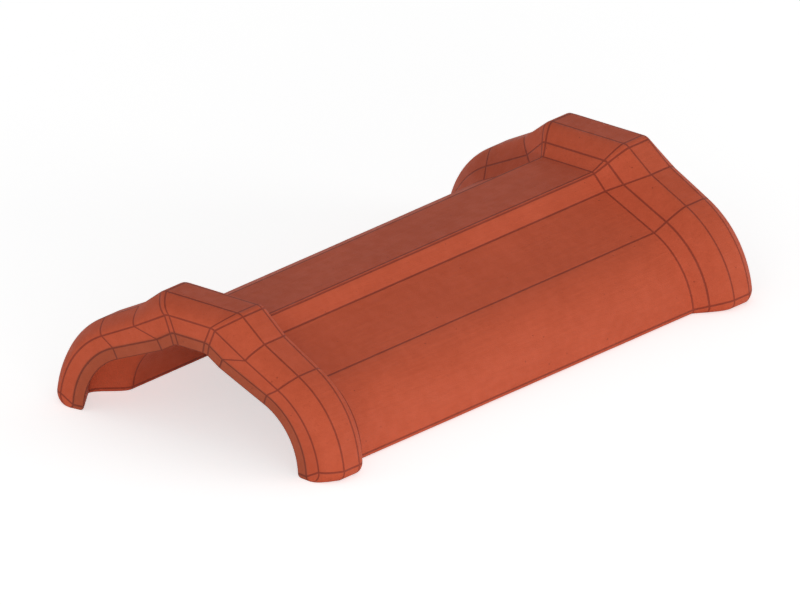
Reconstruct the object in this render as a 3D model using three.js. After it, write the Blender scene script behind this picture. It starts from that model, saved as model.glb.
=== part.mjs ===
// Clay ridge tile with a swollen collar at each end, pressed and fired in one piece.
// Millimetres, +Z up. X runs across the ridge, Y along it, Z = 0 is the plane of the bearing
// edges, and the origin is midway between the collars. Both halves are mirror images, left
// and right as well as end to end.
import * as THREE from "three";

// Along the ridge, measured from the middle
const overallLength = 450;
const toePosition = 170.3; // where the collar starts to rise out of the body
const toeLag = 3.4; // how much further out its toe lies at the foot than at the crown
const toeSweep = 0.1; // share of the rise over which its toe sweeps up
const crestStart = 192; // where the level crest of the collar starts
const crestLag = 4.4; // how much further out the crest starts at the foot
const crestSweep = 0.32; // share of the rise over which it rounds off into the crest
const crestEnd = 212; // where its rounded nose starts
const noseTurn = 12.5; // how far along the nose turns down
const noseTurnShare = 0.5; // share of its drop made by then
const innerToePosition = 173.5; // the same rise on the hollow side
const innerCrestStart = 197;
const innerCrestEnd = 199;

// Fall of the straight shoulders between crown and round flank, in degrees
const shoulderSlope = 27;
const mouthShoulderSlope = 22.7;

// Section of the plain body
const crownHalfWidth = 22.7; // the flat strip on top
const crownHeight = 82.8; // the flat strip above the bearing edges
const crownSideRun = 10.2; // the steep side of the crown, across
const crownSideDrop = 11.3; // the steep side of the crown, down
const bodyHalfWidth = 107.9;
const wall = 15.5; // everywhere but at the end faces

// Section over the crest of the collar
const crestCrownHalfWidth = 33.9;
const crestHeight = 99.3;
const crestSideRun = 21.1;
const crestSideDrop = 16.7;
const crestHalfWidth = 125.5;

// Section of the end face
const endCrownHalfWidth = 20.2;
const endHeight = 88.8;
const endSideRun = 28.6;
const endSideDrop = 15.9;
const endHalfWidth = 113.8;

// Mouth of the hollow in the end face
const mouthCrownHalfWidth = 12.8;
const mouthHeight = 68.1;
const mouthSideRun = 12;
const mouthSideDrop = 7.2;
const mouthHalfWidth = 93.6;
const mouthCrownEdgeRadius = 8;
const mouthBandWidth = 8.8; // band round the mouth that slopes back into it
const mouthBandDepth = 1;

// Small rounds
const crownEdgeRadius = 2.5;
const crownFootRadius = 4;
const bodyFootRadius = 3.5; // outer corner of the bearing edge
const collarFootRadius = 7.5;
const innerFootRadius = 3;

// Fineness of the facets
const edgeSteps = 3;
const flankSteps = 12;
const footSteps = 5;
const riseSteps = 10;
const noseSteps = 6;

const bodySection = {
  crown: new THREE.Vector2(crownHalfWidth, crownHeight),
  side: new THREE.Vector2(crownSideRun, -crownSideDrop),
  slope: THREE.MathUtils.degToRad(shoulderSlope),
  halfWidth: bodyHalfWidth,
  edgeRadius: crownEdgeRadius,
  footRadius: bodyFootRadius,
};
const crestSection = {
  crown: new THREE.Vector2(crestCrownHalfWidth, crestHeight),
  side: new THREE.Vector2(crestSideRun, -crestSideDrop),
  slope: THREE.MathUtils.degToRad(shoulderSlope),
  halfWidth: crestHalfWidth,
  edgeRadius: crownEdgeRadius,
  footRadius: collarFootRadius,
};
const endSection = {
  crown: new THREE.Vector2(endCrownHalfWidth, endHeight),
  side: new THREE.Vector2(endSideRun, -endSideDrop),
  slope: THREE.MathUtils.degToRad(shoulderSlope),
  halfWidth: endHalfWidth,
  edgeRadius: crownEdgeRadius,
  footRadius: collarFootRadius,
};
const mouthSection = {
  crown: new THREE.Vector2(mouthCrownHalfWidth, mouthHeight),
  side: new THREE.Vector2(mouthSideRun, -mouthSideDrop),
  slope: THREE.MathUtils.degToRad(mouthShoulderSlope),
  halfWidth: mouthHalfWidth,
  edgeRadius: mouthCrownEdgeRadius,
};

// The point where two lines cross, each given by a point and a direction.
function crossing(p, d, q, e) {
  const t = ((q.x - p.x) * e.y - (q.y - p.y) * e.x) / (d.x * e.y - d.y * e.x);
  return p.clone().addScaledVector(d, t);
}

// Unit vector square to a line that falls to the right, pointing up and out.
function outward(direction) {
  return new THREE.Vector2(-direction.y, direction.x).normalize();
}

// Points of a round of the given radius that replaces the corner between two straight lines.
function roundedCorner(before, corner, after, radius) {
  const a = before.clone().sub(corner).normalize();
  const b = after.clone().sub(corner).normalize();
  const half = Math.acos(a.dot(b)) / 2;
  const centre = a.clone().add(b).normalize().multiplyScalar(radius / Math.sin(half)).add(corner);
  const from = corner.clone().addScaledVector(a, radius / Math.tan(half)).sub(centre);
  const to = corner.clone().addScaledVector(b, radius / Math.tan(half)).sub(centre);
  const arc = new THREE.Path();
  arc.absarc(centre.x, centre.y, radius, from.angle(), to.angle(), from.cross(to) < 0);
  return arc.getSpacedPoints(edgeSteps);
}

// The round flank of a section: an arc centred on the level of the bearing edges, that touches
// the shoulder falling from the foot of the crown and stands upright at the full half width.
function roundFlank(section) {
  const foot = section.crown.clone().add(section.side);
  const sine = Math.sin(section.slope);
  const cosine = Math.cos(section.slope);
  const radius = (cosine * foot.y - sine * (section.halfWidth - foot.x)) / (1 - sine);
  return { radius, centreX: section.halfWidth - radius };
}

// The right half of a section's surface, moved inwards by inset, from the ridge line down to
// the flank, which ends at the given angle above the level of its centre.
function halfOutline(section, inset, lowest) {
  const { radius, centreX } = roundFlank(section);
  const centre = new THREE.Vector2(centreX, 0);
  const crownFoot = section.crown.clone().add(section.side);
  const shoulder = new THREE.Vector2(Math.cos(section.slope), -Math.sin(section.slope));
  const top = new THREE.Vector2(0, section.crown.y - inset);
  const level = new THREE.Vector2(1, 0);
  const sidePoint = section.crown.clone().addScaledVector(outward(section.side), -inset);
  const shoulderPoint = crownFoot.clone().addScaledVector(outward(shoulder), -inset);
  const edge = crossing(top, level, sidePoint, section.side);
  const foot = crossing(sidePoint, section.side, shoulderPoint, shoulder);
  const flank = new THREE.Path();
  const flankTop = outward(shoulder).angle();
  flank.absarc(centre.x, centre.y, radius - inset, flankTop, lowest, true);
  const flankPoints = flank.getSpacedPoints(flankSteps);
  return [
    top,
    ...roundedCorner(top, edge, foot, section.edgeRadius),
    ...roundedCorner(edge, foot, flankPoints[0], crownFootRadius),
    ...flankPoints,
  ];
}

// The outer half outline, carried on round the outer corner of the bearing edge.
function outerHalf(section) {
  const { radius, centreX } = roundFlank(section);
  const round = section.footRadius;
  const reach = radius - round;
  const tilt = Math.asin(round / reach);
  const corner = new THREE.Path();
  const x = centreX + reach * Math.cos(tilt);
  corner.absarc(x, round, round, tilt, -Math.PI / 2, true);
  return [...halfOutline(section, 0, tilt), ...corner.getSpacedPoints(footSteps).slice(1)];
}

// The inner half outline, carried on round the inner corner of the bearing edge.
function innerHalf(section, inset) {
  const { radius, centreX } = roundFlank(section);
  const reach = radius - inset + innerFootRadius;
  const tilt = Math.asin(innerFootRadius / reach);
  const corner = new THREE.Path();
  const x = centreX + reach * Math.cos(tilt);
  corner.absarc(x, innerFootRadius, innerFootRadius, Math.PI + tilt, -Math.PI / 2, false);
  return [...halfOutline(section, inset, tilt), ...corner.getSpacedPoints(edgeSteps).slice(1)];
}

// One outline between two others, at the given place along Y.
function between(from, to, share, y) {
  return from.map((p, i) => {
    const q = p.clone().lerp(to[i], share);
    return new THREE.Vector3(q.x, y, q.y);
  });
}

// How far down its flank each point of an outline lies: 0 at the crown, 1 at the foot.
function flankShare(outline) {
  const highest = outline[0].y;
  return outline.map((p) => 1 - p.y / highest);
}

// Rows of the outer skin of one collar, from its toe to its end face.
function outerRows() {
  const body = outerHalf(bodySection);
  const crest = outerHalf(crestSection);
  const end = outerHalf(endSection);
  const share = flankShare(body);
  const rise = new THREE.CubicBezierCurve(
    new THREE.Vector2(0, 0),
    new THREE.Vector2(toeSweep, 0),
    new THREE.Vector2(1 - crestSweep, 1),
    new THREE.Vector2(1, 1),
  );
  const rows = rise.getPoints(riseSteps).map((p) => {
    const row = between(body, crest, p.y, 0);
    row.forEach((q, i) => {
      const toe = toePosition + toeLag * share[i];
      const start = crestStart + crestLag * share[i];
      q.y = THREE.MathUtils.lerp(toe, start, p.x);
    });
    return row;
  });
  const nose = new THREE.QuadraticBezierCurve(
    new THREE.Vector2(crestEnd, 0),
    new THREE.Vector2(crestEnd + noseTurn, noseTurnShare),
    new THREE.Vector2(overallLength / 2, 1),
  );
  nose.getPoints(noseSteps).forEach((p) => rows.push(between(crest, end, p.y, p.x)));
  return rows;
}

// Rows of the hollow side of one collar, as many as the outer skin has.
function innerRows() {
  const body = innerHalf(bodySection, wall);
  const crest = innerHalf(crestSection, wall);
  const mouth = innerHalf(mouthSection, 0);
  const band = innerHalf(mouthSection, -mouthBandWidth);
  const rows = [];
  for (let step = 0; step <= riseSteps; step += 1) {
    const t = step / riseSteps;
    const y = THREE.MathUtils.lerp(innerToePosition, innerCrestStart, t);
    rows.push(between(body, crest, THREE.MathUtils.smoothstep(t, 0, 1), y));
  }
  const mouthPosition = overallLength / 2 - mouthBandDepth;
  for (let step = 0; step < noseSteps; step += 1) {
    const t = step / (noseSteps - 1);
    const y = THREE.MathUtils.lerp(innerCrestEnd, mouthPosition, t);
    rows.push(between(crest, mouth, t, y));
  }
  rows.push(between(band, band, 0, overallLength / 2));
  return rows;
}

// Closed loops round the wall for one collar, clockwise from the ridge line.
function collarLoops() {
  const inner = innerRows();
  return outerRows().map((outer, row) => {
    const right = [...outer, ...inner[row].toReversed()];
    const left = right.toReversed().slice(1, -1);
    return [...right, ...left.map((p) => new THREE.Vector3(-p.x, p.y, p.z))];
  });
}

// Skin through a row of equal loops, closed by a flat face at each end.
function loft(loops) {
  const count = loops[0].length;
  const faces = [];
  for (let row = 0; row + 1 < loops.length; row += 1) {
    for (let i = 0; i < count; i += 1) {
      const a = row * count + i;
      const b = row * count + ((i + 1) % count);
      faces.push(a, b, a + count, b, b + count, a + count);
    }
  }
  const last = (loops.length - 1) * count;
  const endShape = loops[0].map((p) => new THREE.Vector2(p.x, p.z));
  for (const [a, b, c] of THREE.ShapeUtils.triangulateShape(endShape, [])) {
    faces.push(a, b, c);
    faces.push(last + a, last + c, last + b);
  }
  const geometry = new THREE.BufferGeometry().setFromPoints(loops.flat());
  geometry.setIndex(faces);
  geometry.computeVertexNormals();
  return geometry;
}

function ridgeTile() {
  const far = collarLoops();
  const near = far.map((loop) => loop.map((p) => new THREE.Vector3(p.x, -p.y, p.z)));
  return loft([...near.toReversed(), ...far]);
}

const firedClay = new THREE.MeshStandardMaterial({
  name: "fired_clay",
  color: new THREE.Color(0.72, 0.3, 0.2),
  roughness: 0.85,
  metalness: 0,
});

const tile = new THREE.Group();
const body = new THREE.Mesh(ridgeTile(), firedClay);
body.name = "ridge_tile";
tile.add(body);

export default tile;
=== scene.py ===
"""Clay ridge tile with a swollen collar at each end, on a plain pale floor. Metres, +Z up."""

import math
from collections import namedtuple

import bpy
import numpy as np
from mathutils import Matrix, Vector


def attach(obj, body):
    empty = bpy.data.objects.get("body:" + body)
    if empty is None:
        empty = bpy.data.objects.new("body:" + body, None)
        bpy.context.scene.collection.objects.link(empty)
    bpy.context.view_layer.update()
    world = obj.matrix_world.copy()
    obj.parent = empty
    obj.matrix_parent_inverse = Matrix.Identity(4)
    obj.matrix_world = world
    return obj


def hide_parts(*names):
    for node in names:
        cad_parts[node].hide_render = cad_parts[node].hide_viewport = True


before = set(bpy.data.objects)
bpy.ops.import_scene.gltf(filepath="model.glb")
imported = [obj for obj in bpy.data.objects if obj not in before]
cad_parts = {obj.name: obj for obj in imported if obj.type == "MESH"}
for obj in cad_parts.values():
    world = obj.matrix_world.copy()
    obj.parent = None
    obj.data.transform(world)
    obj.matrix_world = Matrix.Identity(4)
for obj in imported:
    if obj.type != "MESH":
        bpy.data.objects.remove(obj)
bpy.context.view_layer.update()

scene = bpy.context.scene
scene.view_settings.view_transform = "Standard"

MM = 0.001

# ---------------------------------------------------------------- sizes, millimetres
HALF_LENGTH = 225.0
TOE, TOE_LAG, TOE_SWEEP = 170.3, 3.4, 0.1
CREST_START, CREST_LAG, CREST_SWEEP = 192.0, 4.4, 0.32
CREST_END, NOSE_TURN, NOSE_TURN_SHARE = 212.0, 12.5, 0.5
INNER_TOE, INNER_CREST_START, INNER_CREST_END = 173.5, 197.0, 199.0
BAND_WIDTH, BAND_DEPTH = 8.8, 1.0
MOUTH_EASE = 1.2  # how far from the mouth's edge its small round starts
WALL = 15.5
CROWN_FOOT_ROUND, INNER_FOOT = 4.0, 3.0
SKIN = 0.05  # the visible skin lies this far inside the solid
UNEVEN = 0.15  # depth of the uneven pressing

# Half width and height of the level crown, run and drop of its side, fall of the shoulder in
# degrees, half width at the foot, round of the crown's edge, round of the outer foot.
Section = namedtuple("Section", "half_width height run drop slope half_foot edge foot")
BODY = Section(22.7, 82.8, 10.2, 11.3, 25.0, 107.9, 2.5, 3.5)
CREST = Section(33.9, 99.3, 21.1, 16.7, 27.5, 125.5, 8.0, 7.5)
END = Section(20.2, 88.8, 28.6, 15.9, 26.3, 113.8, 8.0, 7.5)
MOUTH = Section(12.8, 68.1, 12.0, 7.2, 22.7, 93.6, 8.0, 3.0)

# Steps along each part of the half outline, from the ridge line to the foot, and the columns
# of points at its folds: both sides of the crown's edge, the crown's foot, and the top and
# bottom of the round flank.
LEVEL, EDGE, SIDE, FOOT, SHOULDER, FLANK, CORNER = 8, 6, 5, 4, 14, 30, 8
CROWN_FOOT = LEVEL + EDGE + SIDE + FOOT
FOLDS = [LEVEL, LEVEL + EDGE, CROWN_FOOT - FOOT // 2, CROWN_FOOT + SHOULDER]
FOLDS.append(FOLDS[-1] + FLANK)

# Steps along each part of the skin, from mid-length out to the rim of the end face, and from
# there back over the hollow side. The rise has a fold partway up, and the mouth one in its round.
BODY_STEPS, RISE_STEPS, CREST_STEPS, NOSE_STEPS, RISE_FOLD = 29, 20, 6, 14, 9
FACE_STEPS, BAND_STEPS, MOUTH_STEPS, FLARE_STEPS, FALL_STEPS, HOLLOW_STEPS = 6, 5, 6, 8, 18, 28
MOUTH_FOLD = 4  # rows back from the last row of the mouth's round


# ---------------------------------------------------------------- outline of a section
def crossing(p, d, q, e):
    """Point where the line through p along d meets the line through q along e."""
    t = ((q[0] - p[0]) * e[1] - (q[1] - p[1]) * e[0]) / (d[0] * e[1] - d[1] * e[0])
    return p + t * d


def outward(d):
    """Unit vector square to a direction that falls to the right, pointing up and out."""
    n = np.array([-d[1], d[0]])
    return n / np.hypot(*n)


def arc(centre, radius, start, stop, count):
    """Points on a circle from one angle to another, both ends included."""
    a = np.linspace(start, stop, count + 1)
    return centre + radius * np.stack([np.cos(a), np.sin(a)], 1)


def rounded(before, corner, after, radius, count):
    """The round of that radius which touches both lines of a corner."""
    a = (before - corner) / np.hypot(*(before - corner))
    b = (after - corner) / np.hypot(*(after - corner))
    half = math.acos(a @ b) / 2
    m = (a + b) / np.hypot(*(a + b))
    centre = corner + m * radius / math.sin(half)
    p = corner + a * radius / math.tan(half) - centre
    q = corner + b * radius / math.tan(half) - centre
    start = math.atan2(p[1], p[0])
    turn = math.atan2(p[0] * q[1] - p[1] * q[0], p @ q)
    return arc(centre, radius, start, start + turn, count)


def straight(a, b, count):
    """Points from just after a up to b."""
    t = np.linspace(0, 1, count + 1)[1:, None]
    return a + (b - a) * t


def half_outline(section, inset, inner):
    """Right half of a section from the ridge line to the bearing edge, moved in by inset.

    Level crown, round, steep side, round, shoulder at its slope s, round flank, and the round
    at the bearing edge, each with a fixed number of points, so that outlines of different
    sections match point for point. The flank is a circle centred on the level of the feet that
    touches the shoulder and stands upright at the full half width w: with the crown's foot at
    (x, z) its radius is (z cos s - (w - x) sin s) / (1 - sin s)."""
    slope = math.radians(section.slope)
    crown = np.array([section.half_width, section.height])
    side = np.array([section.run, -section.drop])
    foot = crown + side
    shoulder = np.array([math.cos(slope), -math.sin(slope)])
    n = outward(shoulder)
    flank = (n @ foot - n[0] * section.half_foot) / (1 - n[0])
    centre = np.array([section.half_foot - flank, 0.0])
    top = np.array([0.0, section.height - inset])
    on_side = crown - inset * outward(side)
    on_shoulder = foot - inset * n
    edge = crossing(top, np.array([1.0, 0.0]), on_side, side)
    crown_foot = crossing(on_side, side, on_shoulder, shoulder)
    radius = INNER_FOOT if inner else section.foot
    reach = flank - inset + (radius if inner else -radius)
    tilt = math.asin(radius / reach)
    low = centre + np.array([reach * math.cos(tilt), radius])
    first = math.pi + tilt if inner else tilt
    last = 1.5 * math.pi if inner else -0.5 * math.pi
    flank_arc = arc(centre, flank - inset, math.atan2(n[1], n[0]), tilt, FLANK)
    edge_round = rounded(top, edge, crown_foot, section.edge, EDGE)
    foot_round = rounded(edge, crown_foot, flank_arc[0], CROWN_FOOT_ROUND, FOOT)
    return np.concatenate([
        top[None],
        straight(top, edge_round[0], LEVEL),
        edge_round[1:],
        straight(edge_round[-1], foot_round[0], SIDE),
        foot_round[1:],
        straight(foot_round[-1], flank_arc[0], SHOULDER),
        flank_arc[1:],
        arc(low, radius, first, last, CORNER)[1:],
    ])


# ---------------------------------------------------------------- rows along the tile
def row(outline, y):
    """An outline in space, at one place along the tile or at its own place for each point."""
    return np.stack([outline[:, 0], y + 0 * outline[:, 0], outline[:, 1]], 1)


def rows(controls, t):
    """Bezier surface through whole rows.

    At each t neighbouring controls are blended, (1 - t) a + t b, until one row is left: two
    controls give a flat strip, three or four a curved one."""
    t = t[:, None, None]
    while len(controls) > 1:
        controls = [a + t * (b - a) for a, b in zip(controls, controls[1:])]
    return controls[0]


def steps(count, first=0, last=1):
    """Even steps from 0 to 1, cut down to those from number first to number count - last."""
    return np.linspace(0, 1, count + 1)[first:count + 1 - last]


def outer_half():
    """Rows over the outer skin from mid-length to the end face, and the row of each fold.

    The body runs straight to the toe. The rise leaves it and reaches the crest level, both a
    little further out towards the foot. The nose leaves the crest level and turns into the
    end face."""
    body, crest, end = (half_outline(section, SKIN, False) for section in (BODY, CREST, END))
    low = 1 - body[:, 1] / body[0, 1]
    toe = TOE + TOE_LAG * low
    start = CREST_START + CREST_LAG * low
    rise = start - toe
    controls = [row(body, toe), row(body, toe + TOE_SWEEP * rise)]
    controls += [row(crest, start - CREST_SWEEP * rise), row(crest, start)]
    turn = row(crest + NOSE_TURN_SHARE * (end - crest), CREST_END + NOSE_TURN)
    parts = [
        rows([row(body, 0), row(body, toe)], steps(BODY_STEPS)),
        rows(controls, steps(RISE_STEPS, last=0)),
        rows([row(crest, start), row(crest, CREST_END)], steps(CREST_STEPS, first=1)),
        rows([row(crest, CREST_END), turn, row(end, HALF_LENGTH)], steps(NOSE_STEPS, last=0)),
    ]
    toe_row, _, crest_end_row, count = np.cumsum([len(part) for part in parts])
    folds = [toe_row, toe_row + RISE_FOLD, toe_row + RISE_STEPS, crest_end_row, count - 1]
    return np.concatenate(parts), folds


def inner_half():
    """Rows from the rim of the end face over the band and the hollow side to mid-length, and
    the row of each fold.

    The hollow flares from the mouth to the inner crest and narrows again to the body."""
    rim = row(half_outline(END, SKIN, False), HALF_LENGTH)
    band = row(half_outline(MOUTH, SKIN - BAND_WIDTH, True), HALF_LENGTH)
    lip = HALF_LENGTH - BAND_DEPTH
    mouth = row(half_outline(MOUTH, SKIN, True), lip)
    crest = half_outline(CREST, WALL - SKIN, True)
    body = half_outline(BODY, WALL - SKIN, True)
    flare = row(crest, INNER_CREST_END)
    before = mouth + (band - mouth) * MOUTH_EASE / BAND_WIDTH
    after = mouth + (flare - mouth) * MOUTH_EASE / (lip - INNER_CREST_END)
    fall = np.linspace(INNER_CREST_START, INNER_TOE, 4)
    controls = [row(crest, fall[0]), row(crest, fall[1]), row(body, fall[2]), row(body, fall[3])]
    parts = [
        rows([rim, band], steps(FACE_STEPS, first=1, last=0)),
        rows([band, before], steps(BAND_STEPS, first=1)),
        rows([before, mouth, after], steps(MOUTH_STEPS, last=0)),
        rows([after, flare], steps(FLARE_STEPS, first=1, last=0)),
        rows(controls, steps(FALL_STEPS, last=0)),
        rows([row(body, INNER_TOE), row(body, 0)], steps(HOLLOW_STEPS, first=1, last=0)),
    ]
    band_row, _, turn_row, flare_row, fall_row, _ = np.cumsum([len(part) for part in parts])
    folds = [band_row - 1, turn_row - MOUTH_FOLD, flare_row - 1, fall_row - 1]
    return np.concatenate(parts), folds


def whole(far, end_sign, side_sign):
    """Values given on the far right quarter, for the whole tile: a closed ring of rows.

    The far half is followed by its mirror image along Y, and each row is led by its mirror
    image across X."""
    ring = np.concatenate([far, (far[::-1] * end_sign)[1:-1]])
    return np.concatenate([ring[:, :0:-1] * side_sign, ring], 1)


def run(points, axis):
    """Distance covered along one direction of a grid of points, from its first point on."""
    step = np.linalg.norm(np.diff(points, axis=axis), axis=2)
    return np.insert(np.cumsum(step, axis=axis), 0, 0, axis=axis)


def nearest(distance, marks, axis):
    """Distance to the nearest of the marked rows or columns of a grid."""
    gaps = [abs(distance - distance.take([mark], axis)) for mark in marks]
    return np.min(gaps, 0)


def pressed(points):
    """The skin moved inwards by up to UNEVEN, by a slow swell of sines over its place."""
    down = np.roll(points, -1, 0) - np.roll(points, 1, 0)
    across = np.gradient(points, axis=1)
    normal = np.cross(across, down)
    normal /= np.linalg.norm(normal, axis=2, keepdims=True)
    x, y, z = np.moveaxis(points, 2, 0)
    swell = np.sin(x / 9.1 + 1.3 * np.sin(y / 31)) * np.sin(y / 13.7 + z / 11.3 + 0.7)
    swell += np.sin(x / 23 - z / 17 + 2.1) * np.sin(y / 37 + 0.4)
    depth = UNEVEN * (0.5 + 0.25 * swell)
    return points - normal * depth[:, :, None]


def tile_mesh(name):
    """Mesh of the whole skin, with a strip under each foot, and where its folds lie.

    In the far half, row k of the outer skin faces row half - k of the hollow side, and the
    strip joins them in pairs. The near half's strip is its mirror image. fold_across and
    fold_along hold the distance to the nearest fold in millimetres, hollow and band are 1 on
    the hollow side and on the band round the mouth."""
    outer, outer_folds = outer_half()
    inner, inner_folds = inner_half()
    far = np.concatenate([outer, inner])
    first = len(outer)
    along_folds = outer_folds + [first + k for k in inner_folds]
    number = np.arange(len(far))[:, None] + 0 * far[:, :, 0]
    band = (number >= first + inner_folds[0]) & (number <= first + inner_folds[1])
    # The fold distances place painted shade lines along the folds, and band places painted shade
    # round the mouth.
    values = {
        "fold_across": nearest(run(far, 1), FOLDS, 1),
        "fold_along": nearest(run(far, 0), along_folds, 0),
        "hollow": number > first + inner_folds[1],
        "band": band,
    }
    grid = pressed(whole(far, [1, -1, 1], [-1, 1, 1]))
    count, across = grid.shape[:2]
    index = np.arange(count * across).reshape(count, across)
    below = np.roll(index, -1, 0)
    skin = np.stack([index[:, :-1], index[:, 1:], below[:, 1:], below[:, :-1]], -1)
    half = count // 2
    k = np.arange(half // 2)
    strip = np.stack([k + 1, k, half - k, half - 1 - k], -1)
    strips = np.concatenate([strip, -strip[:, ::-1] % count])
    right = strips * across + across - 1
    left = strips[:, ::-1] * across
    quads = np.concatenate([skin.reshape(-1, 4), right, left])
    mesh = bpy.data.meshes.new(name)
    mesh.vertices.add(count * across)
    mesh.vertices.foreach_set("co", (grid * MM).astype(np.float32).ravel())
    mesh.loops.add(quads.size)
    mesh.loops.foreach_set("vertex_index", quads.astype(np.int32).ravel())
    mesh.polygons.add(len(quads))
    mesh.polygons.foreach_set("loop_start", np.arange(0, quads.size, 4, dtype=np.int32))
    mesh.polygons.foreach_set("use_smooth", np.ones(len(quads), bool))
    for label, value in values.items():
        layer = mesh.attributes.new(label, "FLOAT", "POINT")
        layer.data.foreach_set("value", whole(value, 1, 1).astype(np.float32).ravel())
    mesh.update(calc_edges=True)
    mesh.validate()
    return mesh


# ---------------------------------------------------------------- fired clay
CLAY_DARKER, CLAY_LIGHTER = (0.5, 0.077, 0.027, 1), (0.54, 0.087, 0.033, 1)
CLOUD_TINT, GROG_TINT, PIT_TINT = (0.96, 0.95, 0.94), (0.82, 0.8, 0.8), (0.7, 0.66, 0.66)
# Painted shade: the first tint darkens and greys the band round the mouth, the second paints dark
# lines along the folds.
BAND_SHADE_TINT, FOLD_SHADE_TINT = (0.72, 0.86, 0.9), (0.5, 0.42, 0.45)
FOLD_NARROW, FOLD_WIDE = 0.3, 1.0  # millimetres from a fold where its line starts to fade, and ends
RELIEF = 0.25 * MM  # depth of the grain


def add(tree, kind, inputs, **settings):
    """A node with its settings, and each input either linked to a socket or given a value."""
    node = tree.nodes.new(kind)
    for key, value in settings.items():
        setattr(node, key, value)
    for key, value in inputs.items():
        if isinstance(value, bpy.types.NodeSocket):
            tree.links.new(value, node.inputs[key])
        else:
            node.inputs[key].default_value = value
    return node


def noise(tree, place, scale, detail, low, high):
    """Noise of one scale, stretched to the range from low to high."""
    grain = add(tree, "ShaderNodeTexNoise", {"Vector": place, "Scale": scale, "Detail": detail})
    return spread(tree, grain.outputs["Fac"], 0.3, 0.7, low, high)


def spread(tree, value, start, stop, low, high):
    """A value between start and stop carried over, smoothly and clamped, to low to high."""
    levels = {"Value": value, "From Min": start, "From Max": stop, "To Min": low, "To Max": high}
    return add(tree, "ShaderNodeMapRange", levels, interpolation_type="SMOOTHSTEP").outputs[0]


def maths(tree, operation, a, b):
    """Sum, product or other operation on two values."""
    return add(tree, "ShaderNodeMath", {0: a, 1: b}, operation=operation).outputs[0]


def tinted(tree, colour, tint, share):
    """A colour multiplied by a tint, as far as share says."""
    mix = add(tree, "ShaderNodeMix", {"Factor": share}, data_type="RGBA", blend_type="MULTIPLY")
    tree.links.new(colour, mix.inputs["A"])
    mix.inputs["B"].default_value = (*tint, 1)
    return mix.outputs["Result"]


def given(tree, label):
    """A value that the mesh carries at its points."""
    kind = "ShaderNodeAttribute"
    return add(tree, kind, {}, attribute_name=label, attribute_type="GEOMETRY").outputs["Fac"]


def fired_clay():
    """Orange-red clay, fired unglazed: cloudy tone, fine drag marks from pressing, grog and pits,
    painted shade as dark lines along the folds over small grooves, painted shade on the band round
    the mouth, and a coarser hollow side."""
    material = bpy.data.materials.new("fired_clay")
    material.use_nodes = True
    tree = material.node_tree
    shader = tree.nodes["Principled BSDF"]
    place = add(tree, "ShaderNodeTexCoord", {}).outputs["Object"]
    pulled = add(tree, "ShaderNodeMapping", {"Vector": place, "Scale": (1, 0.06, 1)})
    cloud = noise(tree, place, 22, 3, 0, 1)
    mottle = noise(tree, place, 140, 4, 0, 1)
    drag = noise(tree, pulled.outputs["Vector"], 420, 3, 0, 1)
    sand = noise(tree, place, 1400, 3, 0, 1)
    cells = {"Vector": place, "Scale": 330, "Randomness": 1.0}
    grog = add(tree, "ShaderNodeTexVoronoi", cells).outputs["Distance"]
    specks = spread(tree, grog, 0.05, 0.16, 1, 0)
    pits = add(tree, "ShaderNodeTexVoronoi", {"Vector": place, "Scale": 90, "Randomness": 1.0})
    pits = spread(tree, pits.outputs["Distance"], 0.03, 0.07, 1, 0)
    nearer = maths(tree, "MINIMUM", given(tree, "fold_across"), given(tree, "fold_along"))
    # fold is the mask of the painted shade lines along the folds, and below it also sets the depth
    # of small grooves.
    fold = spread(tree, nearer, FOLD_NARROW, FOLD_WIDE, 1, 0)

    base = add(tree, "ShaderNodeMix", {"Factor": cloud}, data_type="RGBA")
    base.inputs["A"].default_value = CLAY_DARKER
    base.inputs["B"].default_value = CLAY_LIGHTER
    colour = base.outputs["Result"]
    colour = tinted(tree, colour, CLOUD_TINT, mottle)
    colour = tinted(tree, colour, CLOUD_TINT, drag)
    colour = tinted(tree, colour, GROG_TINT, specks)
    colour = tinted(tree, colour, PIT_TINT, pits)
    # Painted shade on the band round the mouth.
    colour = tinted(tree, colour, BAND_SHADE_TINT, given(tree, "band"))
    # Painted shade: dark lines along the folds.
    colour = tinted(tree, colour, FOLD_SHADE_TINT, fold)
    tree.links.new(colour, shader.inputs["Base Color"])

    rough = spread(tree, mottle, 0, 1, 0.66, 0.72)
    tree.links.new(rough, shader.inputs["Roughness"])
    shader.inputs["Specular IOR Level"].default_value = 0.3
    coarse = spread(tree, given(tree, "hollow"), 0, 1, 0.6, 1.2)
    height = maths(tree, "MULTIPLY", sand, coarse)
    height = maths(tree, "ADD", height, maths(tree, "MULTIPLY", drag, 0.5))
    height = maths(tree, "SUBTRACT", height, pits)
    height = maths(tree, "SUBTRACT", height, maths(tree, "MULTIPLY", fold, 1.5))
    relief = {"Height": height, "Strength": 0.75, "Distance": RELIEF}
    tree.links.new(add(tree, "ShaderNodeBump", relief).outputs["Normal"], shader.inputs["Normal"])
    return material


tile = bpy.data.objects.new("ridge_tile_skin", tile_mesh("ridge_tile_skin"))
scene.collection.objects.link(tile)
tile.data.materials.append(fired_clay())
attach(tile, "root")
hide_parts("ridge_tile")


# ---------------------------------------------------------------- floor, light, camera
def seen(tree, plain, bright):
    """plain for light that falls on the object, bright for what the eye sees, straight, in a
    reflection or through glass."""
    path = add(tree, "ShaderNodeLightPath", {}).outputs
    shown = maths(tree, "MAXIMUM", path["Is Camera Ray"], path["Is Glossy Ray"])
    shown = maths(tree, "MAXIMUM", shown, path["Is Transmission Ray"])
    return spread(tree, shown, 0, 1, plain, bright)


FLOOR_SIZE = 8.0
FLOOR_LIGHT = 0.425  # how bright the lamps and the sky already make the floor

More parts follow.
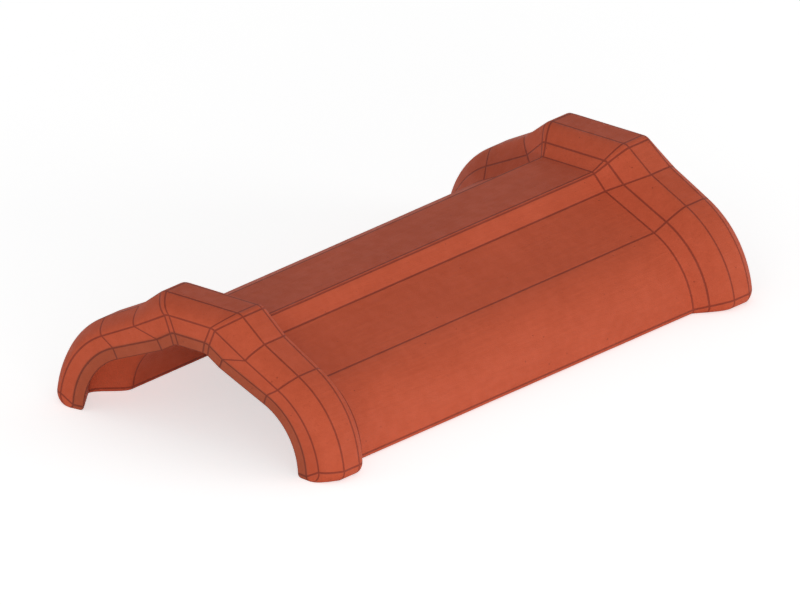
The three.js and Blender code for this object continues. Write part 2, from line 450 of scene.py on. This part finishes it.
bpy.ops.mesh.primitive_plane_add(size=FLOOR_SIZE)
floor = bpy.context.object
floor.name = "floor"
paper = bpy.data.materials.new("white_paper")
paper.use_nodes = True
paper_shader = paper.node_tree.nodes["Principled BSDF"]
paper_shader.inputs["Base Color"].default_value = (0.9, 0.9, 0.9, 1)
paper_shader.inputs["Roughness"].default_value = 1.0
paper_shader.inputs["Specular IOR Level"].default_value = 0.0
paper_shader.inputs["Emission Color"].default_value = (1, 1, 1, 1)
glow = seen(paper.node_tree, 0.0, 1 - FLOOR_LIGHT)
paper.node_tree.links.new(glow, paper_shader.inputs["Emission Strength"])
floor.data.materials.append(paper)

SKY = 0.42  # light of the world on the tile

studio = bpy.data.worlds.new("studio")
scene.world = studio
studio.use_nodes = True
sky = studio.node_tree.nodes["Background"]
sky.inputs["Color"].default_value = (1, 1, 1, 1)
studio.node_tree.links.new(seen(studio.node_tree, SKY, 1.0), sky.inputs["Strength"])


LAMP_DISTANCE, LAMP_HEIGHT, LAMP_DEPTH = 4.0, 0.42, 0.6
AIM_HEIGHT = 0.05


def softbox(name, azimuth, width, level):
    """A low, wide lamp that faces the tile, at an azimuth from -Y towards +X.

    level is how bright it makes white paper that faces it."""
    lamp = bpy.data.lights.new(name, "AREA")
    lamp.shape = "RECTANGLE"
    lamp.size = width
    lamp.size_y = LAMP_DEPTH
    lamp.energy = level * (math.pi * LAMP_DISTANCE) ** 2
    holder = bpy.data.objects.new(name, lamp)
    turn = math.radians(azimuth)
    away = Vector((math.sin(turn), -math.cos(turn), 0)) * LAMP_DISTANCE
    holder.location = away + Vector((0, 0, LAMP_HEIGHT))
    facing = Vector((0, 0, AIM_HEIGHT)) - holder.location
    holder.rotation_euler = facing.to_track_quat("-Z", "Y").to_euler()
    scene.collection.objects.link(holder)


softbox("right", 115, 2.4, 0.32)
softbox("front", 42, 3.6, 0.5)
softbox("left", -30, 2.4, 0.12)

AZIMUTH, ELEVATION = math.radians(39.97), math.radians(21.59)
PIXEL = 0.6721 * MM  # width that one pixel covers
FRAME_WIDTH, AIM_RIGHT, AIM_UP = 800 * PIXEL, -4.55 * PIXEL, 47.64 * PIXEL
CAMERA_DISTANCE = 2.0
right = Vector((math.cos(AZIMUTH), math.sin(AZIMUTH), 0))
ahead = Vector((math.sin(AZIMUTH), -math.cos(AZIMUTH), 0))
back = ahead * math.cos(ELEVATION) + Vector((0, 0, math.sin(ELEVATION)))
up = back.cross(right)
lens = bpy.data.cameras.new("camera")
lens.type = "ORTHO"
lens.ortho_scale = FRAME_WIDTH
camera = bpy.data.objects.new("camera", lens)
camera.location = right * AIM_RIGHT + up * AIM_UP + back * CAMERA_DISTANCE
camera.rotation_euler = back.to_track_quat("Z", "Y").to_euler()
scene.collection.objects.link(camera)
scene.camera = camera
